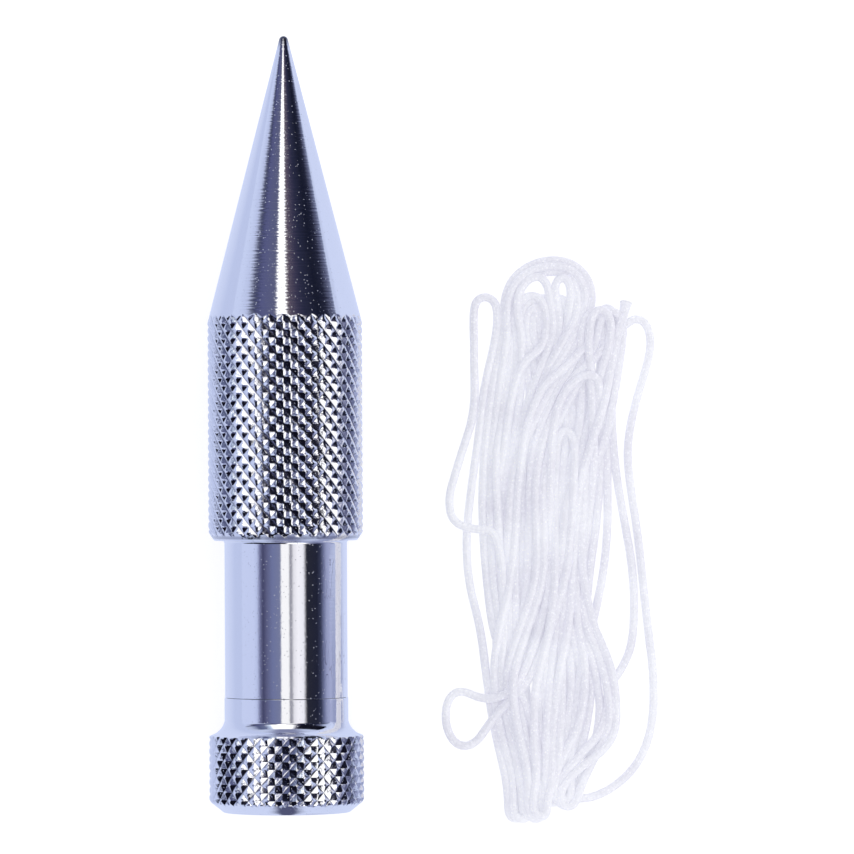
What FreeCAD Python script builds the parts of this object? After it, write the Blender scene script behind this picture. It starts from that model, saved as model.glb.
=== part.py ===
import FreeCAD, Part
import math
import os

# Plumb bob lying on a table, with its line beside it in a loose hank.
# Millimetres, +Z up. The bob lies along Y with its point towards +Y, and touches z = 0.
# The origin is under the middle of the bob, so its point and its cap are equally far from it.

V = FreeCAD.Vector

# ---- driving dimensions: the bob -------------------------------------------------------------
knurl_d = 25.3              # over the knurl, on the barrel and on the cap
neck_d = 20.0
collar_d = 20.2             # plain collar of the cap, beside the seam
cone_half_angle = 14.33     # degrees
tip_r = 0.73                # radius of the worn point
cone_len = 46.95            # from the point's end to the barrel
barrel_len = 35.35          # with its end chamfer
barrel_chamfer_len = 1.4
barrel_chamfer_depth = 0.95
neck_fillet = 0.6           # where the neck meets the barrel
neck_len = 25.6
seam_gap = 0.05             # between the neck's end and the cap's shoulder
edge_break = 0.2            # small chamfer on both sides of the seam

# ---- driving dimensions: the screw cap -------------------------------------------------------
collar_len = 3.9
flare_len = 2.4             # hollow flare from the collar to the knurl
flare_sag = 0.5             # how far the flare is hollowed below a straight line
grip_len = 10.6             # knurled length of the cap
cap_end_len = 1.85          # end chamfer, along the axis
cap_end_depth = 2.3         # end chamfer, across the axis
line_hole_d = 3.0           # the line runs through the cap
line_hole_break = 0.5       # rounding chamfer at both ends of that hole

# ---- driving dimensions: the thread, M12 x 1.25, as plain cylinders at its pitch diameter ----
thread_d = 11.2
thread_clearance = 0.1      # on the radius
spigot_len = 11.0
spigot_relief_d = 10.2
spigot_relief_len = 1.5
spigot_chamfer = 0.7
tapped_depth = 14.0
tapped_mouth = 0.8          # countersink at the mouth of the tapped hole
knot_bore_d = 9.5           # the drilled bottom of the hole, where the line's knot sits
knot_bore_depth = 26.0      # from the neck's end, to the start of the drill point
drill_half_angle = 59.0     # degrees

# ---- driving dimensions: the line ------------------------------------------------------------
line_d = 1.35
hank_height = 7.4

# ---- places worked out from those ------------------------------------------------------------
knurl_r = knurl_d / 2
axis_z = knurl_r
neck_r = neck_d / 2
collar_r = collar_d / 2
bob_len = cone_len + barrel_len + neck_len + collar_len + flare_len + grip_len + cap_end_len
tip_y = bob_len / 2
cone_base_y = tip_y - cone_len
barrel_end_y = cone_base_y - barrel_len
seam_y = barrel_end_y - neck_len
shoulder_y = seam_y - seam_gap
collar_end_y = seam_y - collar_len
grip_start_y = collar_end_y - flare_len
grip_end_y = grip_start_y - grip_len
cap_end_y = grip_end_y - cap_end_len


def line(a, b):
    return Part.LineSegment(a, b).toShape()


def arc(a, middle, b):
    return Part.Arc(a, middle, b).toShape()


def outline(points):
    """Straight edges from each (radius, y) to the next."""
    return [line(V(*a, 0), V(*b, 0)) for a, b in zip(points, points[1:])]


def turned(edges):
    """A solid of revolution about Y, from a closed profile, raised to lie on z = 0."""
    face = Part.Face(Part.Wire(Part.__sortEdges__(edges)))
    solid = face.revolve(V(0, 0, 0), V(0, 1, 0), 360)
    solid.translate(V(0, 0, axis_z))
    return solid


def make_bob_body():
    """Point, knurled barrel and plain neck, turned from one bar, with the cap's hole in its end."""
    slope = math.radians(cone_half_angle)
    ball_y = tip_y - tip_r
    touch = (tip_r * math.cos(slope), ball_y + tip_r * math.sin(slope))
    half = math.radians(45 + cone_half_angle / 2)
    on_ball = (tip_r * math.cos(half), ball_y + tip_r * math.sin(half))
    point = arc(V(0, tip_y, 0), V(*on_ball, 0), V(*touch, 0))

    fillet_mid = neck_fillet * (1 - math.sqrt(0.5))
    fillet = arc(
        V(neck_r + neck_fillet, barrel_end_y, 0),
        V(neck_r + fillet_mid, barrel_end_y - fillet_mid, 0),
        V(neck_r, barrel_end_y - neck_fillet, 0),
    )
    outside = outline([
        touch,
        (knurl_r, cone_base_y),
        (knurl_r, barrel_end_y + barrel_chamfer_len),
        (knurl_r - barrel_chamfer_depth, barrel_end_y),
        (neck_r + neck_fillet, barrel_end_y),
    ])
    tapped_r = thread_d / 2 + thread_clearance
    knot_r = knot_bore_d / 2
    knot_end_y = seam_y + knot_bore_depth
    drill_point = knot_r / math.tan(math.radians(drill_half_angle))
    inside = outline([
        (neck_r, barrel_end_y - neck_fillet),
        (neck_r, seam_y + edge_break),
        (neck_r - edge_break, seam_y),
        (tapped_r + tapped_mouth, seam_y),
        (tapped_r, seam_y + tapped_mouth),
        (tapped_r, seam_y + tapped_depth),
        (knot_r, seam_y + tapped_depth),
        (knot_r, knot_end_y),
        (0, knot_end_y + drill_point),
        (0, tip_y),
    ])
    return turned([point, fillet] + outside + inside)


def make_screw_cap():
    """Knurled cap with a plain collar, a spigot that screws into the neck, and a hole for the line."""
    a = V(knurl_r, grip_start_y, 0)
    b = V(collar_r, collar_end_y, 0)
    across = b.sub(a).cross(V(0, 0, 1)).normalize()
    middle = a.add(b).multiply(0.5).add(across.multiply(-flare_sag))
    flare = arc(a, middle, b)

    hole_r = line_hole_d / 2
    spigot_r = thread_d / 2
    spigot_end_y = shoulder_y + spigot_len
    profile = outline([
        (collar_r, collar_end_y),
        (collar_r, shoulder_y - edge_break),
        (collar_r - edge_break, shoulder_y),
        (spigot_relief_d / 2, shoulder_y),
        (spigot_relief_d / 2, shoulder_y + spigot_relief_len),
        (spigot_r, shoulder_y + spigot_relief_len),
        (spigot_r, spigot_end_y - spigot_chamfer),
        (spigot_r - spigot_chamfer, spigot_end_y),
        (hole_r + line_hole_break, spigot_end_y),
        (hole_r, spigot_end_y - line_hole_break),
        (hole_r, cap_end_y + line_hole_break),
        (hole_r + line_hole_break, cap_end_y),
        (knurl_r - cap_end_depth, cap_end_y),
        (knurl_r, grip_end_y),
        (knurl_r, grip_start_y),
    ])
    return turned([flare] + profile)


# ---- the line --------------------------------------------------------------------------------
# The hank's outer shape, clockwise from its left side: the folded ends at the top, the pile at the
# upper right where the line's end lies, and the loose lobes at the bottom.
hank_outline = [
    (30.7, 14.6), (31.0, 19.4), (33.0, 20.6), (35.2, 21.4), (37.4, 24.6), (40.7, 26.4),
    (44.0, 27.2), (47.0, 26.0), (49.6, 23.2), (51.2, 19.2), (53.6, 18.8), (56.2, 20.2),
    (56.9, 18.0), (55.6, 13.8), (54.9, 8.0), (54.9, -2.7), (54.2, -13.7), (53.4, -22.0),
    (51.6, -30.2), (51.6, -35.6), (53.6, -40.4), (54.6, -46.0), (54.2, -51.6), (52.0, -55.6),
    (49.4, -58.8), (48.2, -62.6), (45.0, -64.6), (41.6, -65.8), (38.2, -65.4), (36.6, -60.4),
    (34.6, -53.0), (33.0, -45.0), (32.2, -35.7), (30.4, -26.3), (29.4, -18.4), (29.7, -10.5),
    (30.2, -2.0), (30.0, 6.4),
]

# The stretches that stray outside the hank, point by point, flat on the table.
stray_routes = {
    "line_right_loop": [
        (53.7, 13.8), (55.4, 15.7), (57.4, 17.3), (59.4, 16.6), (60.3, 13.2), (59.4, 9.0), (57.9, 4.4),
        (56.7, -0.4), (56.1, -5.4), (56.8, -11.6), (57.8, -18.0), (58.6, -25.6), (59.4, -33.6),
        (60.4, -41.6), (60.3, -49.4), (58.4, -55.4), (54.9, -59.4), (50.6, -61.8), (46.8, -62.1),
    ],
    "line_right_strand": [
        (53.4, -1.0), (53.9, -5.6), (54.6, -10.6), (55.7, -16.6), (56.9, -23.4), (57.3, -30.2),
        (56.9, -36.8), (55.0, -41.0), (52.8, -43.6),
    ],
    "line_left_strand": [
        (31.1, 4.6), (30.6, 0.3), (29.2, -3.9), (27.8, -8.3), (26.6, -12.5), (27.2, -16.0),
        (29.4, -17.2), (31.8, -17.6), (34.1, -17.6),
    ],
    "line_lower_left_loop": [
        (37.6, -43.8), (34.8, -45.4), (31.6, -45.4), (28.4, -43.8), (26.2, -45.6), (25.9, -49.9),
        (27.7, -53.3), (30.8, -53.2), (33.6, -49.0), (36.6, -45.6),
    ],
}


def make_hank():
    """The hank as one closed solid of its outer shape."""
    curve = Part.BSplineCurve()
    curve.interpolate([V(x, y, 0) for x, y in hank_outline], PeriodicFlag=True)
    return Part.Face(Part.Wire(curve.toShape())).extrude(V(0, 0, hank_height))


def make_tube(name, route, tube_d):
    """A round tube along straight runs joined by tangent arcs, each as large as its runs allow."""
    points = [V(x, y, tube_d / 2) for x, y in route]
    edges, start, smallest = [], points[0], None
    for before, corner, after in zip(points, points[1:], points[2:]):
        into = corner.sub(before)
        out = after.sub(corner)
        half_turn = into.getAngle(out) / 2
        cut = 0.45 * min(into.Length, out.Length)
        radius = cut / math.tan(half_turn)
        into.normalize()
        out.normalize()
        p = corner.sub(into * cut)
        q = corner.add(out * cut)
        inward = out.sub(into).normalize()
        middle = corner.add(inward * (radius / math.cos(half_turn) - radius))
        edges += [line(start, p), arc(p, middle, q)]
        start = q
        smallest = radius if smallest is None else min(smallest, radius)
    edges.append(line(start, points[-1]))
    path = Part.Wire(edges)
    section = Part.Wire(Part.Circle(points[0], points[1].sub(points[0]), tube_d / 2).toShape())
    tube = path.makePipeShell([section], True, False)
    wanted = math.pi * tube_d ** 2 / 4 * path.Length
    print(f"{name}: length {path.Length:.1f}, smallest radius {smallest:.2f}, "
          f"volume {tube.Volume:.1f} against {wanted:.1f}")
    return tube


os.makedirs("parts", exist_ok=True)
hank = make_hank()
nodes = {"bob_body": make_bob_body(), "screw_cap": make_screw_cap(), "line_hank": hank}
for name, route in stray_routes.items():
    nodes[name] = make_tube(name, route, line_d).cut(hank)

for name, shape in nodes.items():
    shape.exportStep(f"parts/{name}.step")
    box = shape.BoundBox
    print(f"{name}: {len(shape.Solids)} solid, valid {shape.isValid()}, {shape.Volume:.0f} mm3, "
          f"x {box.XMin:.1f} {box.XMax:.1f}, y {box.YMin:.1f} {box.YMax:.1f}, z {box.ZMin:.2f} {box.ZMax:.2f}")
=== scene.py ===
import bpy
import math
import numpy as np
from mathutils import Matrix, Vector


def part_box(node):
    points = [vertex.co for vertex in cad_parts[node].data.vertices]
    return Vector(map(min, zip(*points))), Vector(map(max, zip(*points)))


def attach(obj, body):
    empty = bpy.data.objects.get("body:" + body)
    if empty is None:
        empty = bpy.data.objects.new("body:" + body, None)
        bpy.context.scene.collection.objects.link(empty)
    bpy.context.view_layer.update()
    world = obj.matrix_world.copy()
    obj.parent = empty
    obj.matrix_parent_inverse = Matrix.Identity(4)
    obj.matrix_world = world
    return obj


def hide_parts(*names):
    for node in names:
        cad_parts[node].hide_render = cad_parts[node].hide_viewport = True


# A chromed plumb bob lying on a pale floor, point away from the viewer, with its braided line
# beside it in a loose hank. Sizes below are in millimetres and become metres in the meshes.

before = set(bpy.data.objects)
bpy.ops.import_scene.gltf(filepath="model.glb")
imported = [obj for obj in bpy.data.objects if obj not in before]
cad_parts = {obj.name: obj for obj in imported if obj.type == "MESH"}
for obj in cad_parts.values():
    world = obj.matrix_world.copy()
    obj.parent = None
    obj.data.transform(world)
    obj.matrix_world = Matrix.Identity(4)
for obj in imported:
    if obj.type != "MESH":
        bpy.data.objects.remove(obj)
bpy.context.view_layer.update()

MM = 0.001                            # metres

# ---- places, from the frame ------------------------------------------
body_low, body_high = (np.array(corner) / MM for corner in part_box("bob_body"))
cap_low, cap_high = (np.array(corner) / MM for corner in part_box("screw_cap"))
KNURL_R = (body_high[0] - body_low[0]) / 2
AXIS_Z = body_low[2] + KNURL_R
TIP_Y = body_high[1]
SEAM_Y = body_low[1]
CAP_END_Y = cap_low[1]
SPIGOT_END_Y = cap_high[1]

# ---- sizes of the turned parts ---------------------------------------
TIP_R = 0.73
CONE_ANGLE = math.radians(14.33)
CONE_LEN = 46.95
BARREL_LEN = 35.35
BARREL_CHAMFER = (1.4, 0.95)          # along and across the axis
NECK_R = 10.0
COLLAR_R = 10.1
COLLAR_LEN = 3.9
FLARE_LEN = 2.4
FLARE_SAG = 0.5
GRIP_LEN = 10.6
CAP_END_DEPTH = 2.3
LINE_HOLE_R = 1.5
LINE_HOLE_BREAK = 0.5                 # chamfer at both ends of that hole
SEAM_GAP = 0.05
SEAM_EDGE = 0.07                      # rounding on both sides of the seam
SHARP_ANGLE = math.radians(24)        # between faces that are shaded with an edge

THREAD_PITCH = 1.25
THREAD_ROOT_R = 5.2
THREAD_DEPTH = 0.7
THREAD_ROOT_SHARE = 0.2               # of half a pitch that is the flat root
THREAD_FLANK_SHARE = 0.65             # of half a pitch that is the flank
THREAD_CLEARANCE = 0.12
TAPPED_DEPTH = 14.0
TAPPED_MOUTH = 0.8                    # countersink of the tapped hole
SPIGOT_RELIEF_LEN = 1.5
KNOT_BORE_R = 4.75
KNOT_BORE_DEPTH = 26.0
DRILL_POINT = 2.85                    # length of the cone at the bore's bottom

LINE_D = 1.35
LINE_STEP = 0.38                      # between two rings of the line's mesh
LINE_SIDES = 10
LINE_OVAL = 0.05                      # share by which it is out of round
FRAY = 0.55                           # share by which it spreads at the cut end
FRAY_LEN = 1.3
SQUEEZED_D = 1.18                     # between two centre lines where strands press on each other
BRAID_PITCH = 1.6                     # length of one repeat of the braid

# ---- the view, in millimetres, read at the height of the bob's axis ----
VIEW_WIDTH = 139.428571
VIEW_DISTANCE = 1093.877551
VIEW_MIDDLE = (23.15, -0.6)
VIEW_TURN = math.radians(-0.26)

# ---- the knurl: two crossing families of grooves ---------------------
KNURL_STARTS = 33
KNURL_PITCH = 2.54                    # along the axis
# The two crossing families of V grooves: their way round, their depth and their share of the pitch.
# The wheel of the first one was pressed in harder, most of all on the barrel.
BARREL_GROOVES = ((1, 0.50, 0.84), (-1, 0.40, 0.70))
CAP_GROOVES = ((1, 0.47, 0.79), (-1, 0.43, 0.75))
KNURL_DEPTH = BARREL_GROOVES[0][1]
CAP_KNURL_PHASE = 0.3
KNURL_DISH = 0.05                     # hollow in the top of each diamond
DISH_SPREAD = 0.008                   # how wide that hollow is, in squares of the pitch
KNURL_UNEVEN = 0.08                   # share by which the depth varies over the surface
RUN_OUT = 2.4                         # from the cone's base to where the last grooves end
RUN_OUT_FADE = 1.4                    # length over which they get shallower
KNURL_STEPS = 10                      # mesh steps in one pitch, both ways
COLUMNS = KNURL_STARTS * KNURL_STEPS

CONE_BASE_Y = TIP_Y - CONE_LEN
BARREL_END_Y = CONE_BASE_Y - BARREL_LEN
COLLAR_END_Y = SEAM_Y - COLLAR_LEN
GRIP_START_Y = COLLAR_END_Y - FLARE_LEN
GRIP_END_Y = GRIP_START_Y - GRIP_LEN


# ---- profiles of turned parts: lists of (radius, y) ------------------
def rounded(corners, steps=3):
    """The outline through (radius, y, rounding) corners, each rounded by that much."""
    out = [corners[0][:2]]
    for before, corner, after in zip(corners, corners[1:], corners[2:]):
        p, a, b = (np.array(c[:2], float) for c in (corner, before, after))
        size = corner[2]
        if size == 0:
            out.append(tuple(p))
            continue
        into, away = (a - p) / np.linalg.norm(a - p), (b - p) / np.linalg.norm(b - p)
        for i in range(steps + 1):
            t = i / steps
            out.append(tuple(p + into * size * (1 - t) ** 2 + away * size * t ** 2))
    out.append(corners[-1][:2])
    return out


def divided(points, longest):
    """The same outline with no stretch longer than that."""
    out = [points[0]]
    for a, b in zip(points, points[1:]):
        n = max(1, math.ceil(math.dist(a, b) / longest))
        out += [(a[0] + (b[0] - a[0]) * i / n, a[1] + (b[1] - a[1]) * i / n) for i in range(1, n + 1)]
    return out


def at_knurl_rows(points, y_high, y_low):
    """The outline between two heights, read at the knurl's own mesh rows. It has one radius at each y."""
    step = KNURL_PITCH / KNURL_STEPS
    first, last = math.floor(y_high / step), math.ceil(y_low / step)
    ys = [p[1] for p in points][::-1]
    rs = [p[0] for p in points][::-1]
    return [(float(np.interp(k * step, ys, rs)), k * step) for k in range(first, last - 1, -1)]


def knurl_radius(angle, y, phase, grooves):
    """Radius of the knurled surface: V grooves along two crossing helices, with dished lands.
    The cap's knurl is the mirror image of the barrel's, by way of a reversed angle."""
    turn = KNURL_STARTS * angle / (2 * math.pi) + phase
    cut = np.zeros_like(turn)
    from_middle = np.zeros_like(turn)
    for way, depth, share in grooves:
        f = (turn + way * y / KNURL_PITCH) % 1
        wall = 1 - 2 * np.minimum(f, 1 - f) / share
        cut = np.maximum(cut, depth * wall)
        from_middle = from_middle + (f - 0.5) ** 2
    dish = KNURL_DISH * np.exp(-from_middle / DISH_SPREAD)
    cut = cut * np.clip((CONE_BASE_Y + RUN_OUT - y) / RUN_OUT_FADE, 0, 1)
    uneven = 1 + KNURL_UNEVEN * np.sin(5 * angle + 0.9 * y) * np.sin(3 * angle - 0.37 * y + 1)
    return KNURL_R - uneven * (cut + dish)


def thread_radius(angle, y):
    """Radius of the right-hand external thread."""
    f = (y / THREAD_PITCH - angle / (2 * math.pi)) % 1
    ridge = 1 - np.abs(2 * f - 1)
    return THREAD_ROOT_R + THREAD_DEPTH * np.clip((ridge - THREAD_ROOT_SHARE) / THREAD_FLANK_SHARE, 0, 1)


def band_faces(first_row, next_row, radii, true):
    """Triangles between two rows, each square cut along the diagonal that is nearer to the true surface."""
    a, d = radii[first_row], np.roll(radii[first_row], -1)
    b, c = radii[next_row], np.roll(radii[next_row], -1)
    along_ac = np.abs((a + c) / 2 - true) <= np.abs((b + d) / 2 - true)
    i, j = first_row * COLUMNS, next_row * COLUMNS
    faces = []
    for k, cut_ac in enumerate(along_ac):
        m = (k + 1) % COLUMNS
        p, q, s, t = i + k, j + k, j + m, i + m
        faces += [(p, q, s), (p, s, t)] if cut_ac else [(p, q, t), (q, s, t)]
    return faces


def pole_faces(row, pole, forward):
    """The fan of triangles from a row to a point on the axis."""
    faces = []
    for k in range(COLUMNS):
        a, b = row * COLUMNS + k, row * COLUMNS + (k + 1) % COLUMNS
        faces.append((pole, a, b) if forward else (pole, b, a))
    return faces


def turned_mesh(name, rows, surface, poles=()):
    """A mesh around the bob's axis. rows are (radius, y, kind), and surface(kind, radius, y, angle)
    gives the true radius. poles are the two y on the axis where its first and last rows close.
    Without them its last row joins its first."""
    angle = np.arange(COLUMNS) * 2 * math.pi / COLUMNS
    ys = np.array([row[1] for row in rows])
    radii = np.array([surface(kind, r, y, angle) for r, y, kind in rows])
    verts = np.stack([
        radii * np.sin(angle),
        np.repeat(ys[:, None], COLUMNS, 1),
        AXIS_Z + radii * np.cos(angle),
    ], axis=-1).reshape(-1, 3)
    verts = [tuple(v) for v in verts * MM]

    n = len(rows)
    faces = []
    for i in range(n - 1 if poles else n):
        j = (i + 1) % n
        middle_y = (ys[i] + ys[j]) / 2
        middle_r = (rows[i][0] + rows[j][0]) / 2
        kind = rows[i][2] if rows[i][2] == rows[j][2] else ""
        true = surface(kind, middle_r, middle_y, angle + math.pi / COLUMNS)
        faces += band_faces(i, j, radii, true)
    for row, pole_y, forward in zip((0, n - 1), poles, (True, False)):
        faces += pole_faces(row, len(verts), forward)
        verts.append((0.0, pole_y * MM, AXIS_Z * MM))

    mesh = bpy.data.meshes.new(name)
    mesh.from_pydata(verts, [], faces)
    mesh.polygons.foreach_set("use_smooth", np.ones(len(mesh.polygons), bool))
    mesh.set_sharp_from_angle(angle=SHARP_ANGLE)
    mesh.update()
    piece = bpy.data.objects.new(name, mesh)
    bpy.context.collection.objects.link(piece)
    return piece


def kinds(points, kind):
    """The rows of one kind of surface, from its outline."""
    return [(r, y, kind) for r, y in points]


def body_surface(kind, r, y, angle):
    if kind == "knurl":
        return np.minimum(r, knurl_radius(angle, y, 0.0, BARREL_GROOVES))
    if kind == "thread":
        return thread_radius(angle, y) + THREAD_CLEARANCE
    return np.full_like(angle, r)


def body_outside():
    """Rows of the point, the cone, the knurled barrel and the plain neck, from the point on."""
    ball_y = TIP_Y - TIP_R
    ball = [
        (TIP_R * math.sin(t), ball_y + TIP_R * math.cos(t))
        for t in np.linspace(0.12, math.pi / 2 - CONE_ANGLE, 9)
    ]
    reach = KNURL_DEPTH / math.tan(CONE_ANGLE) + 0.6
    knurl_top = (KNURL_R - reach * math.tan(CONE_ANGLE), CONE_BASE_Y + reach)
    cone = divided([ball[-1], knurl_top], 2.4)

    along, across = BARREL_CHAMFER
    barrel = at_knurl_rows([
        knurl_top,
        (KNURL_R, CONE_BASE_Y),
        (KNURL_R, BARREL_END_Y + along),
        (KNURL_R - across, BARREL_END_Y),
    ], knurl_top[1], BARREL_END_Y + 0.05)
    neck = divided(rounded([
        (KNURL_R - across, BARREL_END_Y + 0.04, 0),
        (KNURL_R - across - 0.04, BARREL_END_Y, 0),
        (NECK_R, BARREL_END_Y, 0.6),
        (NECK_R, SEAM_Y, SEAM_EDGE),
        (THREAD_ROOT_R + 1.3, SEAM_Y, 0.1),
        (THREAD_ROOT_R + 0.6, SEAM_Y + TAPPED_MOUTH, 0),
    ], 5), 3.0)
    return kinds(ball, "") + kinds(cone[1:-1], "") + kinds(barrel, "knurl") + kinds(neck, "")


def make_bob_body():
    """Point, cone, knurled barrel and neck in one, with the tapped hole and the knot's bore."""
    thread = divided([
        (THREAD_ROOT_R, SEAM_Y + TAPPED_MOUTH + 0.1),
        (THREAD_ROOT_R, SEAM_Y + TAPPED_DEPTH),
    ], THREAD_PITCH / 6)
    bore_end_y = SEAM_Y + KNOT_BORE_DEPTH
    bore = divided([
        (KNOT_BORE_R, SEAM_Y + TAPPED_DEPTH + 0.3),
        (KNOT_BORE_R, bore_end_y),
        (0.4, bore_end_y + 2.6),
    ], 3.0)
    rows = body_outside() + kinds(thread, "thread") + kinds(bore, "")
    return turned_mesh("bob_body_turned", rows, body_surface, poles=(TIP_Y, bore_end_y + DRILL_POINT))


def cap_surface(kind, r, y, angle):
    if kind == "knurl":
        return np.minimum(r, knurl_radius(-angle, y, CAP_KNURL_PHASE, CAP_GROOVES))
    if kind == "thread":
        lead_in = 0.9 * (SPIGOT_END_Y - y)
        return np.minimum(thread_radius(angle, y), THREAD_ROOT_R - 0.25 + lead_in)
    return np.full_like(angle, r)


def hollow_flare():
    """The hollow outline from the collar out to the knurl."""
    rise = KNURL_R - COLLAR_R
    slope = math.hypot(FLARE_LEN, rise)
    flare = []
    for t in np.linspace(0, 1, 9):
        sag = FLARE_SAG * 4 * t * (1 - t)
        r = COLLAR_R + rise * t - sag * FLARE_LEN / slope
        y = COLLAR_END_Y - FLARE_LEN * t - sag * rise / slope
        flare.append((float(r), float(y)))
    return flare


def make_screw_cap():
    """Collar, hollow flare, knurled grip, chamfered end, line hole and threaded spigot."""
    shoulder = SEAM_Y - SEAM_GAP
    end_r = KNURL_R - CAP_END_DEPTH
    flare = hollow_flare()
    split = 4                         # the knurl's rows begin at this point of the flare
    collar = divided(rounded([
        (8.0, shoulder, 0),
        (COLLAR_R, shoulder, SEAM_EDGE),
        flare[0] + (0.15,),
        flare[1],
    ], 4), 1.2) + flare[2:split]
    grip = at_knurl_rows(
        flare[split - 1:] + [(KNURL_R, GRIP_END_Y), (end_r, CAP_END_Y)],
        flare[split][1], CAP_END_Y + 0.05,
    )
    hole = divided(rounded([
        (end_r + 0.08, CAP_END_Y + 0.06, 0),
        (end_r, CAP_END_Y, 0.08),
        (LINE_HOLE_R + LINE_HOLE_BREAK, CAP_END_Y, 0.1),
        (LINE_HOLE_R, CAP_END_Y + LINE_HOLE_BREAK, 0.1),
        (LINE_HOLE_R, SPIGOT_END_Y - LINE_HOLE_BREAK, 0.1),
        (LINE_HOLE_R + LINE_HOLE_BREAK, SPIGOT_END_Y, 0.1),
        (THREAD_ROOT_R - 0.25, SPIGOT_END_Y, 0.1),
        (THREAD_ROOT_R - 0.02, SPIGOT_END_Y - 0.3, 0),
    ]), 2.5)
    relief_y = shoulder + SPIGOT_RELIEF_LEN
    thread = divided([
        (THREAD_ROOT_R, SPIGOT_END_Y - 0.35),
        (THREAD_ROOT_R, relief_y),
    ], THREAD_PITCH / 12)
    relief = [
        (THREAD_ROOT_R - 0.1, relief_y - 0.1),
        (THREAD_ROOT_R - 0.1, shoulder + 0.1),
        (THREAD_ROOT_R, shoulder),
    ]
    rows = (
        kinds(collar, "") + kinds(grip, "knurl") + kinds(hole, "") + kinds(thread, "thread")
        + kinds(relief, "")
    )
    return turned_mesh("screw_cap_turned", rows, cap_surface)


# ---- materials -------------------------------------------------------
BUMP_HEIGHT = 0.0001                  # metres
PLAIN_CHROME = (0.86, 0.86, 0.89, 1)
SCRATCHED_CHROME = (0.47, 0.46, 0.51, 1)
WORN_CHROME = (0.10, 0.10, 0.13, 1)
# Dark colour in the bottoms of the knurl's grooves: partly old dirt, partly painted shade.
DIRT_AND_SHADE = (0.16, 0.16, 0.21, 1)
DIRT_AND_SHADE_SHARE = 0.45                     # where it is thickest


def new_material(name):
    material = bpy.data.materials.new(name)
    material.use_nodes = True
    tree = material.node_tree
    tree.nodes.clear()
    out = tree.nodes.new("ShaderNodeOutputMaterial")
    return material, tree, out


def plug(tree, socket, value):
    """Give a socket a constant, or link it to another node's output."""
    if isinstance(value, (int, float, tuple)):
        socket.default_value = value
    else:
        tree.links.new(value, socket)


def math_node(tree, operation, first, second):
    node = tree.nodes.new("ShaderNodeMath")
    node.operation = operation
    plug(tree, node.inputs[0], first)
    plug(tree, node.inputs[1], second)
    return node.outputs[0]


def mixed(tree, factor, first, second):
    """The first colour where the factor is 0, and the second where it is 1."""
    node = tree.nodes.new("ShaderNodeMix")
    node.data_type = "RGBA"
    for number, value in ((0, factor), (6, first), (7, second)):
        plug(tree, node.inputs[number], value)
    return node.outputs[2]


def stepped(tree, value, low, high):
    """A smooth step from 0 at the low value to 1 at the high one."""
    node = tree.nodes.new("ShaderNodeMapRange")
    node.interpolation_type = "SMOOTHSTEP"
    tree.links.new(value, node.inputs["Value"])
    node.inputs["From Min"].default_value = low
    node.inputs["From Max"].default_value = high
    return node.outputs[0]


def noise(tree, place, scale, detail=2.0):
    """A noise from 0 to 1, finer with a larger scale."""
    node = tree.nodes.new("ShaderNodeTexNoise")
    tree.links.new(place, node.inputs["Vector"])
    node.inputs["Scale"].default_value = scale
    node.inputs["Detail"].default_value = detail
    return node.outputs["Fac"]


def cells(tree, place, scale):
    """Cells with random colours: their nearness, which is 1 at their middle, and two random shares."""
    node = tree.nodes.new("ShaderNodeTexVoronoi")
    tree.links.new(place, node.inputs["Vector"])
    node.inputs["Scale"].default_value = scale
    chance = tree.nodes.new("ShaderNodeSeparateColor")
    tree.links.new(node.outputs["Color"], chance.inputs[0])
    nearness = math_node(tree, "SUBTRACT", 1.0, node.outputs["Distance"])
    return nearness, chance.outputs[0], chance.outputs[1]


def bump(tree, height, strength, normal=None):
    """The normal of a surface with that relief, on top of another one's if it is given."""
    node = tree.nodes.new("ShaderNodeBump")
    plug(tree, node.inputs["Strength"], strength)
    node.inputs["Distance"].default_value = BUMP_HEIGHT
    tree.links.new(height, node.inputs["Height"])
    if normal is not None:
        tree.links.new(normal, node.inputs["Normal"])
    return node.outputs[0]


def parts_of(tree, vector):
    """The x, y and z of a vector."""
    node = tree.nodes.new("ShaderNodeSeparateXYZ")
    tree.links.new(vector, node.inputs[0])
    return node.outputs


def linear(colour, gain=1.0):
    """A display colour, each channel from 0 to 255, as linear light."""
    out = []
    for c in colour:
        c = c / 255
        out.append(gain * (c / 12.92 if c <= 0.04045 else ((c + 0.055) / 1.055) ** 2.4))
    return (*out, 1)


def within(tree, value, low, high):
    """1 where the value in metres lies between two places given in millimetres, and 0 elsewhere."""
    middle, half = (low + high) / 2 * MM, (high - low) / 2 * MM
    away = math_node(tree, "ABSOLUTE", math_node(tree, "SUBTRACT", value, middle), 0.0)
    return math_node(tree, "LESS_THAN", away, half)


def neck_scratches(tree, place, x, y, z):
    """Fine scratches on the upper right of the neck: the level lines of a noise drawn out along it."""
    drawn = tree.nodes.new("ShaderNodeMapping")
    drawn.inputs["Rotation"].default_value = (0, 0, math.radians(24))
    drawn.inputs["Scale"].default_value = (1500, 260, 1500)
    tree.links.new(place, drawn.inputs["Vector"])
    level = math_node(tree, "SUBTRACT", noise(tree, drawn.outputs[0], 1.0, 1.0), 0.5)
    off = math_node(tree, "ABSOLUTE", level, 0.0)
    thin = math_node(tree, "SUBTRACT", 1.0, stepped(tree, off, 0.008, 0.03))
    patches = stepped(tree, noise(tree, place, 170.0), 0.44, 0.60)
    right = stepped(tree, x, 4.5 * MM, 7.0 * MM)
    here = math_node(tree, "MULTIPLY", patches, right)
    on_neck = within(tree, y, SEAM_Y + 2, BARREL_END_Y - 3)
    upper = stepped(tree, z, (AXIS_Z + 1.5) * MM, (AXIS_Z + 4.5) * MM)
    neck = math_node(tree, "MULTIPLY", on_neck, upper)
    return math_node(tree, "MULTIPLY", math_node(tree, "MULTIPLY", thin, here), neck)


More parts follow.
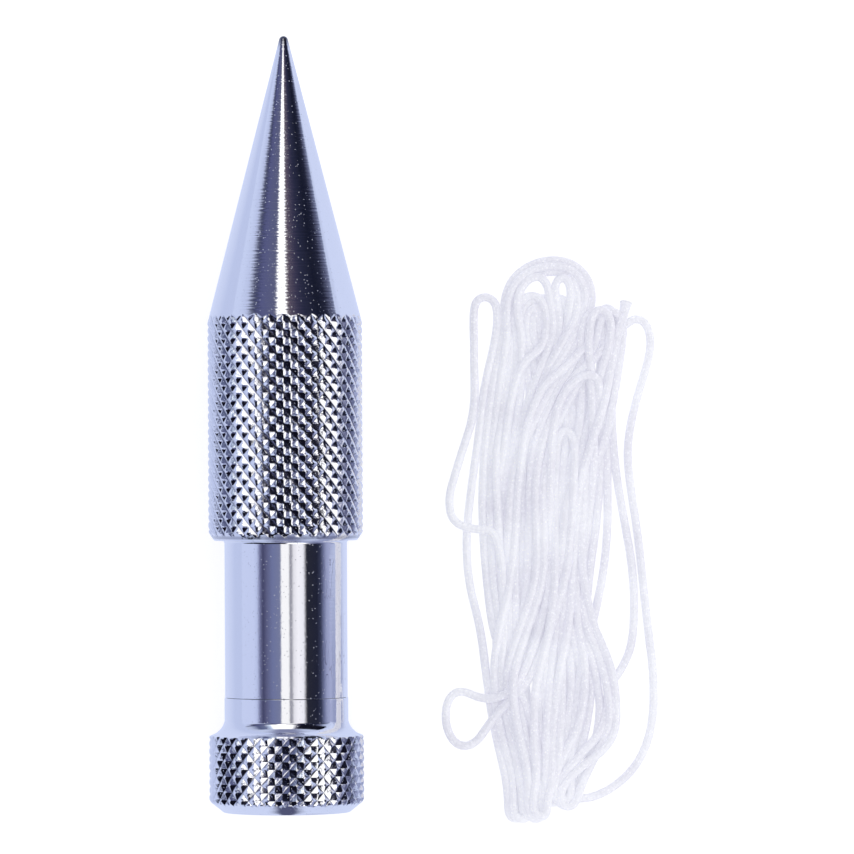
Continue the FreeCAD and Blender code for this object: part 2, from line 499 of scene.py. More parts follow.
def groove_dirt_and_shade(tree, x, z, knurled):
    """Where the colour darkens for old dirt and painted shade: in the bottoms of the knurl's grooves, by
    their depth below its top.
    """
    across = math_node(tree, "POWER", x, 2.0)
    up = math_node(tree, "POWER", math_node(tree, "SUBTRACT", z, AXIS_Z * MM), 2.0)
    radius = math_node(tree, "SQRT", math_node(tree, "ADD", across, up), 0.0)
    depth = math_node(tree, "SUBTRACT", KNURL_R * MM, radius)
    dirt_and_shade = math_node(tree, "MULTIPLY", stepped(tree, depth, 0.30 * MM, 0.52 * MM), knurled)
    return math_node(tree, "MULTIPLY", dirt_and_shade, DIRT_AND_SHADE_SHARE)


def chrome_colour(tree, place, x, y, z, knurled):
    """Plain chromium, with scratches, a dull, worn point, and dirt with painted shade in the knurl's
    grooves.
    """
    scratches = neck_scratches(tree, place, x, y, z)
    bright = mixed(tree, scratches, PLAIN_CHROME, SCRATCHED_CHROME)
    worn = stepped(tree, y, (TIP_Y - 2.4) * MM, TIP_Y * MM)
    plain = mixed(tree, worn, bright, WORN_CHROME)
    # Painted shade, with old dirt, darkens the bottoms of the knurl's grooves.
    return mixed(tree, groove_dirt_and_shade(tree, x, z, knurled), plain, DIRT_AND_SHADE)


def chrome_bumps(tree, place, y, knurled):
    """Fine turning rings, pits that are deeper on the knurl, and a few specks, one on the other."""
    rings = tree.nodes.new("ShaderNodeTexNoise")
    rings.noise_dimensions = "1D"
    tree.links.new(math_node(tree, "MULTIPLY", y, 2600.0), rings.inputs["W"])
    rings.inputs["Scale"].default_value = 1.0
    rings.inputs["Detail"].default_value = 2.0
    turned = bump(tree, rings.outputs["Fac"], 0.09)

    depth = math_node(tree, "ADD", math_node(tree, "MULTIPLY", knurled, 0.5), 0.06)
    pitted = bump(tree, noise(tree, place, 1400.0, 3.0), depth, turned)

    nearness, chance, _ = cells(tree, place, 1900.0)
    few = stepped(tree, chance, 0.1, 0.5)
    specks = math_node(tree, "MULTIPLY", stepped(tree, nearness, 0.84, 0.96), few)
    return bump(tree, specks, 0.4, pitted)


def make_chrome():
    """Bright chromium over turned steel, with a little haze."""
    material, tree, out = new_material("chrome_over_turned_steel")
    place = tree.nodes.new("ShaderNodeTexCoord").outputs["Object"]
    x, y, z = parts_of(tree, place)
    knurled = math_node(
        tree, "ADD",
        within(tree, y, BARREL_END_Y + 0.3, CONE_BASE_Y + 1.2),
        within(tree, y, GRIP_END_Y, GRIP_START_Y),
    )
    haze = tree.nodes.new("ShaderNodeMapRange")
    tree.links.new(noise(tree, place, 240.0), haze.inputs["Value"])
    haze.inputs["To Min"].default_value = 0.03
    haze.inputs["To Max"].default_value = 0.10

    shader = tree.nodes.new("ShaderNodeBsdfPrincipled")
    shader.inputs["Metallic"].default_value = 1.0
    tree.links.new(haze.outputs[0], shader.inputs["Roughness"])
    tree.links.new(chrome_colour(tree, place, x, y, z, knurled), shader.inputs["Base Color"])
    tree.links.new(chrome_bumps(tree, place, y, knurled), shader.inputs["Normal"])
    tree.links.new(shader.outputs[0], out.inputs[0])
    return material


# ---- studio ----------------------------------------------------------
# What the chrome mirrors, by the angle from straight up towards +X, in degrees: a narrow overhead
# softbox along the bob, a wide one to its right, dark flags between, pale walls low down.
ALONG_NECK = [
    (-180, (200, 211, 240)), (-62, (196, 206, 238)), (-55, (184, 194, 228)), (-49, (112, 116, 152)),
    (-43, (64, 66, 98)), (-35, (92, 95, 130)), (-24, (108, 116, 156)), (-9.5, (118, 124, 156)),
    (-7, (250, 250, 250)), (6.5, (250, 250, 250)), (8.5, (150, 150, 160)), (12, (156, 156, 166)),
    (15, (226, 225, 231)), (24, (246, 245, 250)), (34, (238, 238, 244)), (40, (36, 38, 50)),
    (62, (30, 33, 52)), (70, (52, 57, 82)), (77, (108, 115, 150)), (84, (150, 157, 192)),
    (95, (164, 171, 206)), (180, (200, 211, 240)),
]
ALONG_CONE = [
    (-180, (200, 211, 240)), (-95, (198, 209, 240)), (-70, (186, 196, 228)), (-63, (160, 168, 198)),
    (-57, (96, 101, 124)), (-47, (60, 64, 94)), (-36, (84, 88, 130)), (-15, (88, 92, 124)),
    (-9, (92, 95, 124)), (-7, (255, 255, 255)), (7, (255, 255, 255)), (9, (100, 90, 100)),
    (14, (84, 76, 94)), (25, (56, 54, 78)), (35, (38, 41, 64)), (57, (18, 22, 40)),
    (70, (32, 35, 55)), (80, (92, 97, 126)), (90, (176, 187, 220)), (100, (198, 209, 240)),
    (180, (200, 211, 240)),
]
TO_THE_POINT = [
    (-180, (200, 211, 240)), (-104, (200, 208, 234)), (-80, (178, 188, 216)), (-62, (84, 92, 126)),
    (-46, (104, 112, 146)), (-34, (200, 216, 240)), (-28, (255, 255, 255)), (13, (255, 255, 255)),
    (23, (96, 96, 112)), (32, (16, 16, 30)), (92, (12, 14, 28)), (104, (150, 156, 180)),
    (112, (196, 206, 238)), (180, (200, 211, 240)),
]
TO_THE_CAP = [
    (-180, (200, 211, 240)), (-106, (196, 206, 238)), (-96, (110, 114, 138)), (-88, (12, 12, 26)),
    (-24, (12, 12, 26)), (0, (44, 44, 62)), (8, (255, 255, 255)), (40, (255, 255, 255)),
    (50, (146, 150, 180)), (66, (84, 88, 120)), (84, (104, 110, 144)), (104, (186, 194, 228)),
    (180, (200, 211, 240)),
]
FLOOR_GAIN = 1.08
STRIP_GAIN = 1.5                      # of the strips that are brighter than a display shows
OTHER_GAIN = 1.12


def ramp_of(tree, angle, bands):
    """The colours of a table of bands, read by the angle, which is 0 to 1 for the whole way round."""
    ramp = tree.nodes.new("ShaderNodeValToRGB")
    stops = ramp.color_ramp.elements
    stops[0].position, stops[1].position = 0.0, 1.0
    for degrees, _ in bands[1:-1]:
        stops.new((degrees + 180) / 360)
    for stop, (_, colour) in zip(sorted(stops, key=lambda s: s.position), bands):
        stop.color = linear(colour, STRIP_GAIN if min(colour) == 255 else OTHER_GAIN)
    tree.links.new(angle, ramp.inputs[0])
    return ramp.outputs[0]


def slanted(tree, angle, y, level):
    """The angle, shifted away from one level so that the strips' edges lie at a slant, most of all on
    the left, where the rings round the axis then show as a ragged edge."""
    off = math_node(tree, "SUBTRACT", 0.5, angle)
    outer = math_node(tree, "MULTIPLY", stepped(tree, off, 0.05, 0.12), 0.45)
    gate = math_node(tree, "ADD", outer, 0.24)
    shift = math_node(tree, "MULTIPLY", math_node(tree, "SUBTRACT", y, level), gate)
    return math_node(tree, "ADD", angle, shift)


def mirrored_studio(tree, x, y, z):
    """What the chrome mirrors: strips along the bob, other ones for surfaces that lean to either
    end, and pale ends that are darker in their middle."""
    turn = math_node(tree, "ARCTAN2", x, z)
    angle = math_node(tree, "MULTIPLY_ADD", turn, 0.5 / math.pi)
    angle.node.inputs[2].default_value = 0.5
    neck = ramp_of(tree, angle, ALONG_NECK)
    cone = ramp_of(tree, slanted(tree, angle, y, math.sin(2 * CONE_ANGLE) - 0.03), ALONG_CONE)
    along = mixed(tree, stepped(tree, y, 0.18, 0.32), neck, cone)

    cap_end, point_end = ramp_of(tree, angle, TO_THE_CAP), ramp_of(tree, angle, TO_THE_POINT)
    leaning = mixed(tree, stepped(tree, y, -0.1, 0.1), cap_end, point_end)
    steep = math_node(tree, "MAXIMUM", y, math_node(tree, "MULTIPLY", y, -1.6))
    mirrored = mixed(tree, stepped(tree, steep, 0.54, 0.62), along, leaning)

    beside = stepped(tree, math_node(tree, "ABSOLUTE", x, 0.0), 0.12, 0.42)
    low = mixed(tree, beside, linear((136, 142, 176)), linear((200, 211, 240)))
    endwise = math_node(tree, "ABSOLUTE", y, 0.0)
    return mixed(tree, stepped(tree, endwise, 0.80, 0.88), mirrored, low)


def soft_sky(tree, x, z):
    """Soft light for the floor and the line, brightest from above and a little from the right."""
    lit = math_node(tree, "ADD", math_node(tree, "MULTIPLY", z, 0.62), math_node(tree, "MULTIPLY", x, 0.30))
    return mixed(tree, stepped(tree, lit, -0.3, 0.75), (0.60, 0.61, 0.74, 1), (1.10, 1.10, 1.10, 1))


def make_studio():
    """White to the viewer, strips to the chrome, and soft light from all round for the rest."""
    world = bpy.data.worlds.new("studio")
    bpy.context.scene.world = world
    world.use_nodes = True
    tree = world.node_tree
    tree.nodes.clear()
    x, y, z = parts_of(tree, tree.nodes.new("ShaderNodeTexCoord").outputs["Generated"])
    rays = tree.nodes.new("ShaderNodeLightPath")
    soft = mixed(tree, rays.outputs["Is Glossy Ray"], soft_sky(tree, x, z), mirrored_studio(tree, x, y, z))
    seen = mixed(tree, rays.outputs["Is Camera Ray"], soft, (1.0, 1.0, 1.0, 1))
    background = tree.nodes.new("ShaderNodeBackground")
    tree.links.new(seen, background.inputs["Color"])
    out = tree.nodes.new("ShaderNodeOutputWorld")
    tree.links.new(background.outputs[0], out.inputs[0])


def mirrored_floor(tree):
    """The floor's colour in the chrome: pale blue, darker with painted shadow to the right behind the bob's
    middle, and darker in a streak behind its cap."""
    x, y, _ = parts_of(tree, tree.nodes.new("ShaderNodeTexCoord").outputs["Object"])
    # Painted shadow: behind the bob, the floor is darker as the chrome sees it.
    back = math_node(tree, "MULTIPLY", y, -1.0)
    shaded = stepped(tree, back, 0.0, 0.05)
    far_left, left = linear((192, 203, 236), FLOOR_GAIN), linear((208, 218, 247), FLOOR_GAIN)
    under = mixed(tree, stepped(tree, x, -0.06, -0.014), far_left, left)
    beside = math_node(tree, "MULTIPLY", stepped(tree, x, 0.02, 0.034), shaded)
    near = mixed(tree, beside, under, linear((150, 158, 194), FLOOR_GAIN))
    front_right, back_right = linear((198, 208, 238), FLOOR_GAIN), linear((164, 171, 206), FLOOR_GAIN)
    far = mixed(tree, shaded, front_right, back_right)
    beyond = mixed(tree, stepped(tree, x, 0.09, 0.2), near, far)
    aside = stepped(tree, math_node(tree, "ABSOLUTE", x, 0.0), 0.006, 0.018)
    behind = stepped(tree, back, 0.08, 0.12)
    streak = math_node(tree, "MULTIPLY", math_node(tree, "SUBTRACT", 1.0, aside), behind)
    return mixed(tree, streak, beyond, linear((84, 88, 120)))


def floor_material():
    """White to the viewer and the line, and its mirrored colour to the chrome."""
    material, tree, out = new_material("pale_floor")
    paper = tree.nodes.new("ShaderNodeBsdfDiffuse")
    paper.inputs["Color"].default_value = (0.5, 0.5, 0.5, 1)
    glow = tree.nodes.new("ShaderNodeEmission")
    glow.inputs["Color"].default_value = (0.66, 0.66, 0.66, 1)
    bright = tree.nodes.new("ShaderNodeAddShader")
    tree.links.new(paper.outputs[0], bright.inputs[0])
    tree.links.new(glow.outputs[0], bright.inputs[1])
    pale = tree.nodes.new("ShaderNodeEmission")
    tree.links.new(mirrored_floor(tree), pale.inputs["Color"])
    rays = tree.nodes.new("ShaderNodeLightPath")
    choice = tree.nodes.new("ShaderNodeMixShader")
    tree.links.new(rays.outputs["Is Glossy Ray"], choice.inputs[0])
    tree.links.new(bright.outputs[0], choice.inputs[1])
    tree.links.new(pale.outputs[0], choice.inputs[2])
    tree.links.new(choice.outputs[0], out.inputs[0])
    return material


def make_floor():
    """A wide pale floor at z = 0."""
    half = 2.0
    corners = [(-half, -half, 0), (half, -half, 0), (half, half, 0), (-half, half, 0)]
    mesh = bpy.data.meshes.new("floor")
    mesh.from_pydata(corners, [], [(0, 1, 2, 3)])
    floor = bpy.data.objects.new("floor", mesh)
    bpy.context.collection.objects.link(floor)
    mesh.materials.append(floor_material())


def make_camera():
    """Straight down on the middle of the group, from about 1.1 m, with a long lens."""
    data = bpy.data.cameras.new("camera")
    data.sensor_fit = "HORIZONTAL"
    data.angle = 2 * math.atan(0.5 * VIEW_WIDTH / VIEW_DISTANCE)
    camera = bpy.data.objects.new("camera", data)
    bpy.context.collection.objects.link(camera)
    camera.location = (VIEW_MIDDLE[0] * MM, VIEW_MIDDLE[1] * MM, (AXIS_Z + VIEW_DISTANCE) * MM)
    camera.rotation_euler = (0, 0, VIEW_TURN)
    bpy.context.scene.camera = camera


# ---- the line --------------------------------------------------------
# Millimetres on the floor. A leg is one run of the line down the hank, given by its x where it
# passes each of these heights; a stretch that leaves its leg, or a fold at an end, is a short list.
HEIGHTS = (14, 6, -2, -10, -18, -26, -34, -42, -50, -58)

RIGHT_LOOP = [
    (53.7, 13.8), (55.4, 15.7), (57.4, 17.3), (59.4, 16.6), (60.3, 13.2), (59.4, 9.0), (57.9, 4.4),
    (56.7, -0.4), (56.1, -5.4), (56.8, -11.6), (57.8, -18.0), (58.6, -25.6), (59.4, -33.6),
    (60.4, -41.6), (60.3, -49.4), (58.4, -55.4), (54.9, -59.4), (50.6, -61.8), (46.8, -62.1),
]
RIGHT_STRAND = [
    (53.4, -1.0), (53.9, -5.6), (54.6, -10.6), (55.7, -16.6), (56.9, -23.4), (57.3, -30.2),
    (56.9, -36.8), (55.0, -41.0), (52.8, -43.6),
]
LEFT_STRAND = [
    (31.1, 4.6), (30.6, 0.3), (29.2, -3.9), (27.8, -8.3), (26.6, -12.5), (27.2, -16.0), (29.4, -17.2),
    (31.8, -17.6), (34.1, -17.6),
]
LOWER_LEFT_LOOP = [
    (37.6, -43.8), (34.8, -45.4), (31.6, -45.4), (28.4, -43.8), (26.2, -45.6), (25.9, -49.9),
    (27.7, -53.3), (30.8, -53.2), (33.6, -49.0), (36.6, -45.6),
]


def down(*across, start=0):
    """A leg downwards, from the height of that number on."""
    return list(zip(across, HEIGHTS[start:]))


def up(*across, start=0):
    """The same leg upwards. Its places are still given from its top down."""
    return down(*across, start=start)[::-1]


def hairpin(a, b, bottom):
    """A fold at the bottom of the hank, from x = a to x = b."""
    middle, half = (a + b) / 2, (b - a) / 2
    reach = abs(half)
    return [
        (a, bottom + reach + 1.8),
        (a, bottom + 0.6 * reach),
        (middle - 0.41 * half, bottom),
        (middle + 0.41 * half, bottom),
        (b, bottom + 0.6 * reach),
        (b, bottom + reach + 1.8),
    ]


def buried_turns(count, seed):
    """The first turns of the hank, which the later ones cover: each goes up, over and down in its
    own places between the hank's middle and its right edge."""
    rng = np.random.default_rng(seed)
    left = np.array([37.6, 39.0, 40.0, 40.0, 40.0, 40.0, 40.6, 41.0, 40.0, 39.6])
    right = np.array([48.6, 52.6, 52.6, 49.2, 47.4, 47.2, 49.4, 51.6, 49.8, 47.0])
    wander = np.linspace(0, 1, len(HEIGHTS))
    lanes = (np.arange(count) + 0.5) / count
    tops, bottoms = ([rng.permutation(lanes) for _ in range(2)] for _ in range(2))
    route = []
    for k in range(count):
        legs = []
        for side in (0, 1):
            share = (1 - wander) * tops[side][k] + wander * bottoms[side][k]
            share = (side + share) / 2 + 0.04 * rng.standard_normal(len(HEIGHTS))
            legs.append(left + (right - left) * np.clip(share, 0, 1))
        rising, falling = legs if k % 2 else legs[::-1]
        a, b = rising[0], falling[0]
        top = rng.uniform(19.2, 20.2)
        route += up(*rising)
        route += [(a, top - 2.8), (a + 0.2 * (b - a), top), (b - 0.2 * (b - a), top), (b, top - 2.8)]
        route += down(*falling)
        route += hairpin(falling[-1], 41.0 if k % 2 else 45.0, -rng.uniform(61.0, 62.0))
    return [(float(x), float(y)) for x, y in route]


def inner_loop():
    """The short inner loop, which opens to the left."""
    route = up(38.6, 37.6, 36.4, 35.8, 35.4, 35.8, 36.6, 38.0, 38.8, 39.6)
    route += [(37.6, 17.2), (38.6, 20.3), (41.2, 21.2), (42.9, 19.6), (43.5, 16.4), (42.9, 13.2),
              (41.3, 11.5), (39.2, 10.3)]
    route += down(37.5, 36.2, 35.4, 35.0, 35.2, 34.9, 34.4, 35.2, 37.0, start=1)
    route += hairpin(37.0, 39.7, -64.6)
    return route


def top_arch():
    """Five folds of the top arch, from its inside out."""
    route = up(38.8, 38.8, 37.8, 36.8, 36.2, 36.2, 37.0, 38.2, 39.2, 39.8)
    route += [(37.9, 18.4), (38.4, 21.6), (39.9, 23.8), (41.9, 24.4), (43.3, 22.9), (43.8, 20.4),
              (44.3, 17.4)]
    route += down(44.2, 40.6, 38.2, 37.2, 37.0, 37.0, 37.4, 37.8, 38.6, 39.4)
    route += hairpin(39.6, 42.3, -64.6)
    route += up(44.6, 43.6, 42.8, 41.6, 41.0, 41.0, 41.4, 41.6, 42.0, 42.4)
    route += [(44.4, 18.2), (43.9, 21.2), (44.3, 23.3), (45.6, 24.2), (46.8, 23.2), (47.1, 20.8),
              (46.9, 17.2)]
    route += down(46.4, 45.8, 46.2, 46.0, 45.6, 44.8, 43.6, 42.2, 42.0, 42.0)
    route += hairpin(42.2, 39.5, -65.0)
    route += up(37.6, 36.2, 35.2, 34.7, 34.9, 35.4, 35.8, 36.6, 37.8, 39.2)
    route += [(37.1, 18.0), (37.5, 21.2), (39.4, 23.9), (42.4, 25.1), (45.4, 25.0), (47.6, 23.6),
              (48.3, 20.6), (47.8, 17.0)]
    route += down(45.8, 42.2, 40.8, 40.2, 40.4, 40.6, 39.8, 37.9, 36.9, 37.0)
    route += hairpin(37.0, 39.7, -65.1)
    route += up(36.8, 35.2, 34.1, 33.5, 33.6, 34.2, 35.2, 36.8, 38.8, 39.8)
    route += [(36.5, 18.0), (36.9, 21.2), (38.5, 23.9), (41.6, 25.7), (45.0, 26.0), (47.8, 24.9),
              (49.5, 22.0), (49.4, 18.6)]
    route += down(47.4, 42.6, 39.8, 38.6, 38.8, 38.8, 38.0, 38.2, 39.0, 39.8)
    route += hairpin(39.7, 42.4, -65.0)
    route += up(35.5, 34.0, 33.0, 32.2, 32.3, 32.9, 34.0, 37.2, 40.4, 42.0)
    route += [(35.8, 17.5), (36.1, 20.6), (37.2, 23.4), (39.7, 25.6), (43.0, 26.7), (46.5, 26.5),
              (49.3, 24.6), (50.7, 21.4), (50.4, 18.0)]
    route += down(48.4, 43.4, 39.2, 36.9, 36.6, 36.6, 36.8, 37.4, 38.4, 39.4)
    route += hairpin(39.4, 36.8, -65.2)
    return route


def left_loop():
    """The small loop at the left, and the strand that strays from it."""
    route = up(34.9, 32.6, 31.7, 30.5, 29.5, 29.8, 31.9, 32.8, 34.0, 36.3)
    route += [(35.3, 17.2), (34.8, 20.0), (33.1, 21.0), (31.3, 20.3), (30.9, 17.4), (31.0, 13.6),
              (31.0, 9.0)]
    route += LEFT_STRAND + [(35.2, -21.0)]
    route += down(35.6, 35.6, 35.2, 36.6, 38.6, start=5)
    route += hairpin(39.2, 41.8, -64.8)
    return route


def right_edge():
    """The right edge and the pile at the upper right, with the loose right strand."""
    route = up(44.2, 41.2, 40.0, 40.2, 39.8, 38.2, 37.4, 38.6, 41.2, start=1)
    route += [(47.0, 9.2), (48.9, 13.4), (49.5, 16.6), (50.6, 18.7), (52.3, 18.7), (53.3, 16.8)]
    route += down(52.6, 51.4, 52.4, 52.8, 52.9, 52.0, 50.0, 48.0, 46.8, 46.4)
    route += hairpin(46.6, 43.9, -62.4)
    route += up(48.8, 48.2, 45.9, 45.4, 45.3, 45.2, 45.2, 45.0, 44.2, start=1)
    route += [(48.4, 11.8), (48.5, 15.2), (49.3, 17.8), (50.9, 18.3), (52.0, 16.8)]
    route += down(52.2, 52.2, 51.9, 51.6, 50.9, 49.4, 48.0, 50.9, 52.2, 48.6)
    route += [(47.4, -60.8), (47.0, -62.6), (45.6, -63.3), (44.2, -62.2), (44.4, -58.8), (48.0, -54.8),
              (51.4, -51.4), (52.8, -47.6)]
    route += RIGHT_STRAND[::-1]
    route += [(53.7, 5.0), (54.1, 11.0), (54.7, 15.6), (54.3, 18.0), (52.9, 19.1), (51.5, 18.0),
              (50.5, 14.4), (47.8, 11.0), (44.8, 8.2)]
    route += down(42.0, 39.2, 38.0, 37.6, 36.6, 35.2, 34.0, 34.8, 37.0, start=1)
    route += hairpin(37.0, 39.8, -65.2)
    return route


def wide_loop():
    """The wide loop at the right."""
    route = up(42.3, 40.9, 41.2, 41.2, 38.4, 36.2, 37.6, 39.6, start=2)
    route += [(46.6, 6.4), (49.4, 9.2), (51.8, 11.4)]
    route += RIGHT_LOOP
    route += [(44.4, -61.6), (44.0, -58.6), (45.4, -54.4), (47.8, -50.2), (48.8, -44.6), (48.8, -38.6)]
    return route


def last_of_the_pile():
    """The last folds of the pile."""
    route = up(54.2, 52.6, 49.9, 48.0, 47.6, 48.0, start=1)
    route += [(54.9, 10.4), (55.4, 14.6), (55.1, 17.4), (53.7, 18.8), (52.2, 17.9), (51.5, 14.6),
              (50.2, 11.0)]
    route += down(47.8, 43.9, 42.1, 42.2, 42.2, 39.4, 36.8, 37.6, 39.6, start=1)
    route += hairpin(39.6, 42.3, -64.9)
    route += up(51.6, 49.4, 46.6, 45.6, 44.8, 43.8, 42.8, 42.4, 42.4, start=1)
    route += [(52.6, 10.4), (53.5, 14.8), (53.4, 17.4), (51.8, 19.0), (50.2, 17.8), (49.6, 12.6)]
    route += down(50.6, 50.6, 50.2, 49.2, 48.4, 49.0, start=1)
    route += [(50.8, -37.6), (52.3, -42.2), (52.9, -47.2), (52.4, -51.4), (50.2, -55.4)]
    route += [(47.8, -60.6), (47.3, -62.6), (45.8, -63.4), (44.5, -62.3), (44.8, -59.8), (47.6, -57.0),
              (51.2, -54.6), (53.8, -51.6), (54.2, -46.8), (53.6, -41.4), (52.0, -37.0), (50.0, -33.0)]
    return route


def half_way_folds():
    """Folds half way up on the right, and the loop at the lower left."""
    route = [(48.6, -27.0), (48.4, -18.0), (49.3, -10.0), (50.6, -2.0), (51.5, 3.6), (51.4, 7.4),
              (49.4, 8.2), (46.8, 6.4), (44.9, 3.6), (44.0, 0.0), (43.4, -5.0)]
    route += down(43.2, 43.4, 43.4, 41.6, start=3) + [(39.4, -40.0)]
    route += LOWER_LEFT_LOOP
    route += [(39.4, -43.0), (41.8, -38.6), (43.6, -33.0), (45.4, -26.0), (46.2, -18.0), (46.9, -10.0),
              (47.5, -5.0), (47.3, -2.4), (45.9, -0.9), (44.5, -2.2), (44.2, -5.4), (44.2, -10.2)]
    route += down(44.4, 44.6, 43.4, 40.8, 40.2, 40.8, start=4)
    route += hairpin(39.9, 42.4, -64.8)
    return route


def cut_end():
    """Up to the cut end."""
    route = up(50.6, 48.6, 47.9, 47.0, 46.2, 44.8, 43.8, 43.8, start=2)
    route += [(52.6, 5.0), (53.8, 10.6), (54.7, 15.0), (55.4, 17.6), (56.1, 19.8)]
    return route


def hank_route():
    """The whole line in the order in which it lies, from its hidden end to the cut end in view."""
    hidden_end = [
        (46.0, -34.0), (45.6, -38.0), (45.0, -42.0), (44.5, -46.0), (44.5, -51.0), (44.9, -56.0),
        (44.9, -60.0), (44.3, -61.9), (42.9, -62.5), (41.5, -61.6),
    ]
    return (
        hidden_end + buried_turns(4, seed=4) + inner_loop() + top_arch() + left_loop() + right_edge()
        + wide_loop() + last_of_the_pile() + half_way_folds() + cut_end()
    )


def spline_points(route, spacing):
    """Evenly spaced points read from the smooth line whose control points are the route."""
    curve = bpy.data.curves.new("line_route", "CURVE")
    curve.dimensions = "3D"
    curve.resolution_u = 24
    spline = curve.splines.new("NURBS")
    spline.points.add(len(route) - 1)
    for point, (x, y) in zip(spline.points, route):
        point.co = (x, y, LINE_D / 2, 1)
    spline.order_u = 3
    spline.use_endpoint_u = True
    holder = bpy.data.objects.new("line_route", curve)
    mesh = bpy.data.meshes.new_from_object(holder)
    points = np.empty(3 * len(mesh.vertices))
    mesh.vertices.foreach_get("co", points)
    points = points.reshape(-1, 3)
    bpy.data.objects.remove(holder)
    along = np.concatenate([[0], np.cumsum(np.linalg.norm(np.diff(points, axis=0), axis=1))])
    at = np.linspace(0, along[-1], round(along[-1] / spacing) + 1)
    return np.stack([np.interp(at, along, points[:, k]) for k in range(3)], axis=1)


def close_pairs(points, reach, skip):
    """Numbers of the points that are nearer than reach, and more than skip apart along the line."""
    p = points.astype(np.float32)
    square = (p ** 2).sum(1)
    apart = square[:, None] + square[None, :] - 2 * p @ p.T
    i, j = np.nonzero(np.triu(apart < reach ** 2, skip))
    return i, j


def pushed_apart(p, i, j):
    """How far each point moves off those it presses on, as the mean of their pushes."""
    between = p[j] - p[i]
    far = np.linalg.norm(between, axis=1)
    near = far < SQUEEZED_D
    push = 0.5 * (SQUEEZED_D - far[near]) / np.maximum(far[near], 1e-6)
    move = between[near] * push[:, None]
    total = np.zeros_like(p)
    count = np.ones(len(p))
    np.add.at(total, j[near], move)
    np.add.at(total, i[near], -move)
    np.add.at(count, j[near], 0.5)
    np.add.at(count, i[near], 0.5)
    return total / count[:, None]


# ---- how the line settles --------------------------------------------
ROUNDS = 480
ROUNDS_FALLING = 384
PAIRS_EVERY = 8                       # rounds between two searches for points that are close
PAIRS_REACH = 1.5 * LINE_D
PAIRS_APART = 3 * LINE_D              # along the line
START_RISE = 0.0064                   # height at the start for each millimetre along the line
FALL = 0.06                           # millimetres a round
LAST_FALL = 0.01                      # in the rounds after the falling ones
SIDEWAYS_KEPT = 0.96                  # of each sideways push, from one round to the next
STIFFNESS = ((1, 0.25), (3, 0.2))     # how far each point is drawn to the middle of its neighbours


def settle(route):
    """Lay the line down in its own order: later stretches lie on earlier ones, and none sinks into
    the floor or far into another. What is worked out is how far each point is pushed from the
    route, and that changes gently along the line, because it is stiff. Millimetres."""
    gap = np.linalg.norm(route[1] - route[0])
    skip = math.ceil(PAIRS_APART / gap)
    pushed = np.zeros_like(route)
    pushed[:, 2] = np.arange(len(route)) * gap * START_RISE
    for k in range(ROUNDS):
        p = route + pushed
        if k % PAIRS_EVERY == 0:
            i, j = close_pairs(p, PAIRS_REACH, skip)
        pushed += pushed_apart(p, i, j)
        fall = FALL if k < ROUNDS_FALLING else LAST_FALL
        pushed[:, 2] -= fall * np.clip(pushed[:, 2], 0, 1)
        pushed[:, :2] *= SIDEWAYS_KEPT
        for reach, share in STIFFNESS:
            middle = (pushed[2 * reach:] + pushed[:-2 * reach]) / 2 - pushed[reach:-reach]
            pushed[reach:-reach] += share * middle
        pushed[:, 2] = np.maximum(pushed[:, 2], 0)
    return route + pushed


def settled_centre():
    """The centre line where it comes to lie, at even steps along the route."""
    fine = spline_points(hank_route(), LINE_STEP)
    settled = settle(fine[::2])
    numbers = np.arange(len(fine))
    lift = np.stack([
        np.interp(numbers, numbers[::2], settled[:, k] - fine[::2, k]) for k in range(3)
    ], axis=1)
    centre = fine + lift
    for _ in range(3):
        centre[1:-1] += 0.25 * (centre[2:] + centre[:-2] - 2 * centre[1:-1])
    return centre


def rings_round(centre, s):
    """Rings of points round the centre line, a little oval by turns and frayed at the cut end. s is
    the length so far at each ring."""
    along = np.gradient(centre, axis=0)
    along /= np.linalg.norm(along, axis=1, keepdims=True)
    side = np.cross(along, (0, 0, 1))
    side /= np.linalg.norm(side, axis=1, keepdims=True)
    over = np.cross(side, along)
    angle = np.arange(LINE_SIDES) * 2 * math.pi / LINE_SIDES
    oval = LINE_OVAL * np.cos(2 * angle[None, :] + 0.9 * np.sin(s[:, None] / 9))
    to_cut_end = s[-1] - s[:, None]
    frayed = FRAY * np.exp(-to_cut_end / FRAY_LEN) * (1 + 0.3 * np.sin(5 * angle[None, :]))
    radius = LINE_D / 2 * (1 + oval + frayed)
    outwards = (
        np.cos(angle)[None, :, None] * side[:, None, :]
        + np.sin(angle)[None, :, None] * over[:, None, :]
    )
    return centre[:, None, :] + radius[..., None] * outwards


def tube_faces(rings):
    """Squares between that many rings, and a flat face on both ends."""
    ring = np.arange(rings - 1)[:, None] * LINE_SIDES
    column = np.arange(LINE_SIDES)[None, :]
    following = (column + 1) % LINE_SIDES
    following_ring = ring + LINE_SIDES
    quads = np.stack([
        ring + column, ring + following, following_ring + following, following_ring + column,
    ], axis=-1)
    faces = [tuple(int(v) for v in face) for face in quads.reshape(-1, 4)]
    faces.append(tuple(range(LINE_SIDES))[::-1])
    faces.append(tuple(range((rings - 1) * LINE_SIDES, rings * LINE_SIDES)))
    return faces


def add_braid_map(mesh, s):
    """Texture places for the braid: once round the line, and in repeats of the braid along it."""
    column = np.broadcast_to(np.arange(LINE_SIDES), (len(s) - 1, LINE_SIDES))
    u = np.stack([column, column + 1, column + 1, column], axis=-1)
    v = np.stack([s[:-1], s[:-1], s[1:], s[1:]], axis=-1)[:, None, :].repeat(LINE_SIDES, 1)
    pairs = np.stack([u / LINE_SIDES, v / BRAID_PITCH], axis=-1).reshape(-1)
    both_ends = np.zeros(4 * LINE_SIDES)
    layer = mesh.uv_layers.new(name="braid")
    layer.data.foreach_set("uv", np.concatenate([pairs, both_ends]))


